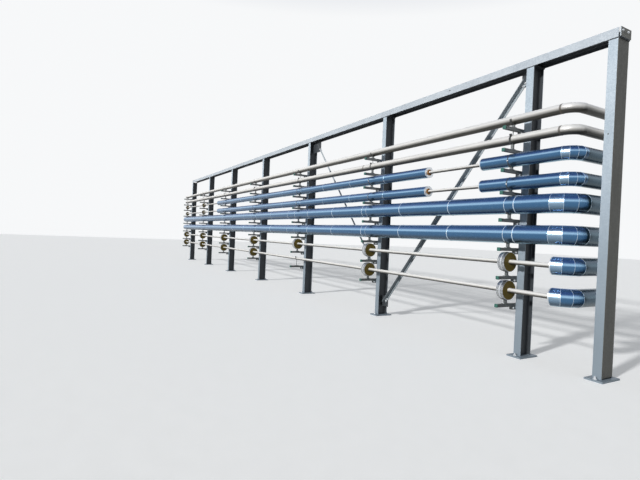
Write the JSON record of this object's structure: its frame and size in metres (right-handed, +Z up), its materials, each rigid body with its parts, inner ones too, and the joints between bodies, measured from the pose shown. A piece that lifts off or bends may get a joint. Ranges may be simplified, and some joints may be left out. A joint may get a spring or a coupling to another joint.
{
  "type": "pipe bridge",
  "caption": "Straight open pipe bridge: a row of steel posts under a flat top beam, with bare and lagged pipe lines on arms along one side that turn back at the near end.",
  "frame": {"origin": "middle of the underside of the near end post's base plate", "axes": "+X along the row towards the near end, the row runs to -X; +Y to the back, the pipes hang to -Y; +Z up"},
  "size_m": [19.41, 0.955, 3.802],
  "materials": {
    "post_steel": "hot-dip galvanised, dull spangle",
    "beam_steel": "hot-dip galvanised, dull spangle",
    "plate_steel": "hot-dip galvanised",
    "bracket_steel": "galvanised channel with plastic end caps",
    "brace_steel": "hot-dip galvanised",
    "pipe_steel": "stainless pipe, mill finish",
    "foam": "rigid foam with a foil skin",
    "lagging_sheet": "thin sheet under blue film"
  },
  "bodies": {
    "root": {"angle_brace": "brace_steel", "bare_pipe_1": "pipe_steel", "bare_pipe_2": "pipe_steel", "beam_splice_plates": "plate_steel", "brackets_at_post_2": "bracket_steel", "brackets_at_post_3": "bracket_steel", "brackets_at_post_4": "bracket_steel", "brackets_at_post_5": "bracket_steel", "brackets_at_post_6": "bracket_steel", "brackets_at_post_7": "bracket_steel", "brackets_at_post_8": "bracket_steel", "core_pipe_3": "pipe_steel", "core_pipe_4": "pipe_steel", "core_pipe_7": "pipe_steel", "core_pipe_8": "pipe_steel", "elbow_lagging": "lagging_sheet", "far_lagging_3": "lagging_sheet", "far_lagging_4": "lagging_sheet", "flat_brace": "brace_steel", "foam_blocks_at_post_2": "foam", "foam_blocks_at_post_3": "foam", "foam_blocks_at_post_4": "foam", "foam_blocks_at_post_5": "foam", "foam_blocks_at_post_6": "foam", "foam_blocks_at_post_7": "foam", "foam_blocks_at_post_8": "foam", "lagging_5": "lagging_sheet", "lagging_6": "lagging_sheet", "near_lagging_3": "lagging_sheet", "near_lagging_4": "lagging_sheet", "post_1": "post_steel", "post_2": "post_steel", "post_3": "post_steel", "post_4": "post_steel", "post_5": "post_steel", "post_6": "post_steel", "post_7": "post_steel", "post_8": "post_steel", "top_beam_1": "beam_steel", "top_beam_2": "beam_steel"}
  },
  "joints": []
}
